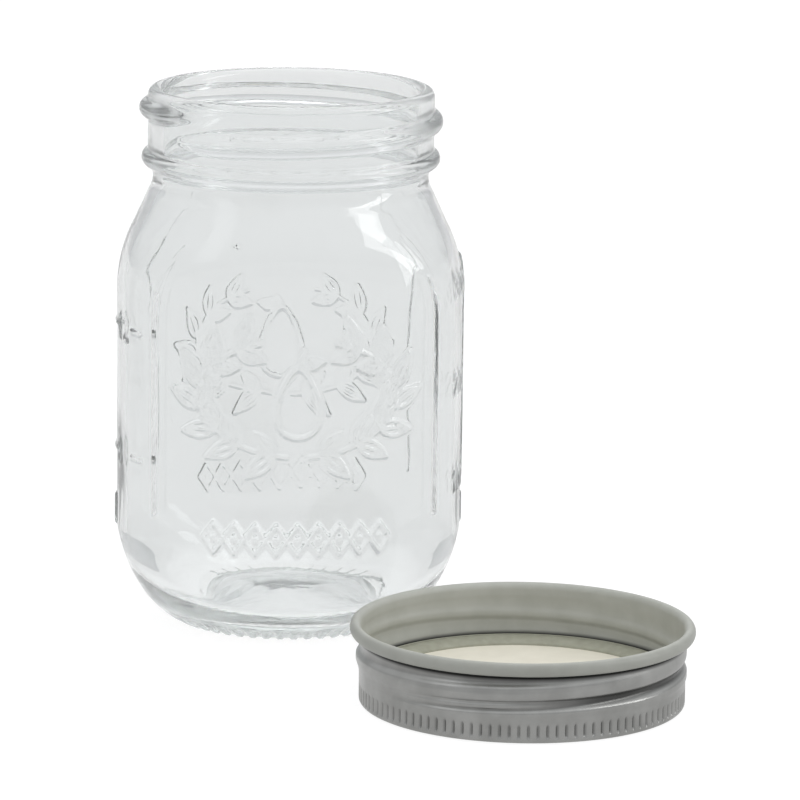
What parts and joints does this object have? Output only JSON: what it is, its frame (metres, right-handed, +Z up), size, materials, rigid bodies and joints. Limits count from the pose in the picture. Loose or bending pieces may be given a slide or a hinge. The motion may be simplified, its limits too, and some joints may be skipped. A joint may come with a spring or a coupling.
{
  "type": "mason jar",
  "caption": "Clear glass canning jar with a threaded neck, flattened embossed panels and a two-piece metal screw lid lying upside down beside it.",
  "frame": {"origin": "on the jar's axis, in the plane of the ring that the jar stands on", "axes": "+Z up along the jar's axis, out of its mouth; -Y out of the front embossed panel; the lid lies towards +X and -Y"},
  "size_m": [0.1256, 0.157, 0.1244],
  "materials": {
    "clear_glass": "clear moulded glass, faint grey-green in its thick parts",
    "satin_tinplate": "satin tinplate, light grey-green coat inside",
    "cream_lacquer": "smooth cream food lacquer on tinplate",
    "seal_compound": "soft matt grey-green sealing compound"
  },
  "bodies": {
    "jar": {"glass_jar": "clear_glass"},
    "disc": {"lid_disc": "cream_lacquer", "sealing_ring": "seal_compound"},
    "band": {"screw_band": "satin_tinplate"}
  },
  "joints": [
    {"name": "lid_turnover", "type": "hinge", "parent": "jar", "child": "disc", "pos_m": [0.02354, -0.04111, 0.07422], "axis": [-0.8678, -0.4969, 0], "range_deg": [0, 180]},
    {"name": "band_turn", "type": "hinge", "parent": "disc", "child": "band", "pos_m": [0.04707, -0.08221, 0.009], "axis": [0, 0, 1], "continuous": true}
  ]
}
